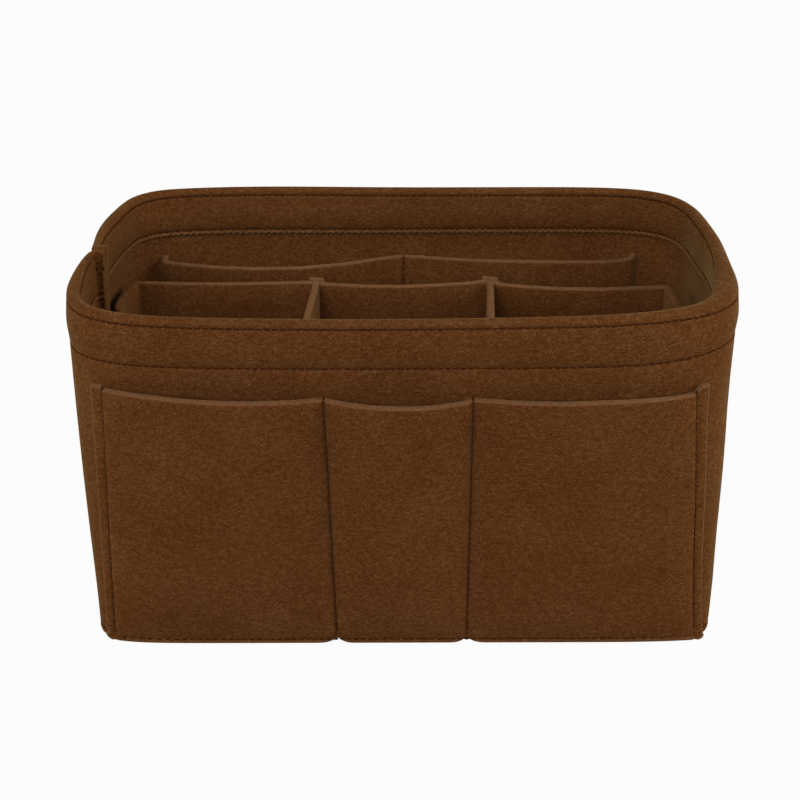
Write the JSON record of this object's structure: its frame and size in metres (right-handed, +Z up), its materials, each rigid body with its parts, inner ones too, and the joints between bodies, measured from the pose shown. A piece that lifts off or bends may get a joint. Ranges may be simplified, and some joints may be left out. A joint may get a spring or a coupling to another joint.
{
  "type": "purse organizer insert",
  "caption": "Open felt organizer that stands inside a handbag, with outer pockets, inner wall pockets and compartments split by a sewn divider.",
  "frame": {"origin": "centre of the footprint, on the underside of the base panel", "axes": "+X to the right along the length, +Y from the front pockets to the back, +Z up"},
  "size_m": [0.282, 0.1782, 0.16],
  "materials": {
    "felt": "dense needled felt, matt, brown",
    "thread": "twisted polyester sewing thread, dark brown"
  },
  "bodies": {
    "root": {"outer_wall": "felt", "base_panel": "felt", "front_pocket_panel": "felt", "back_pocket_panel": "felt", "divider_panel": "felt", "divider_fin_left": "felt", "divider_fin_right": "felt", "inner_back_pocket": "felt", "rim_thread_outer": "thread", "rim_thread_inner": "thread", "hem_thread_outer": "thread", "hem_thread_inner": "thread", "base_thread": "thread", "front_pocket_thread_1": "thread", "front_pocket_thread_2": "thread", "front_pocket_thread_3": "thread", "front_pocket_thread_4": "thread", "back_pocket_thread_1": "thread", "back_pocket_thread_2": "thread", "back_pocket_thread_3": "thread", "back_pocket_thread_4": "thread", "side_seam_thread_front": "thread", "side_seam_thread_back": "thread", "inner_pocket_thread": "thread", "inner_pocket_bottom_thread": "thread", "fin_thread_left": "thread", "fin_thread_right": "thread"}
  },
  "joints": []
}
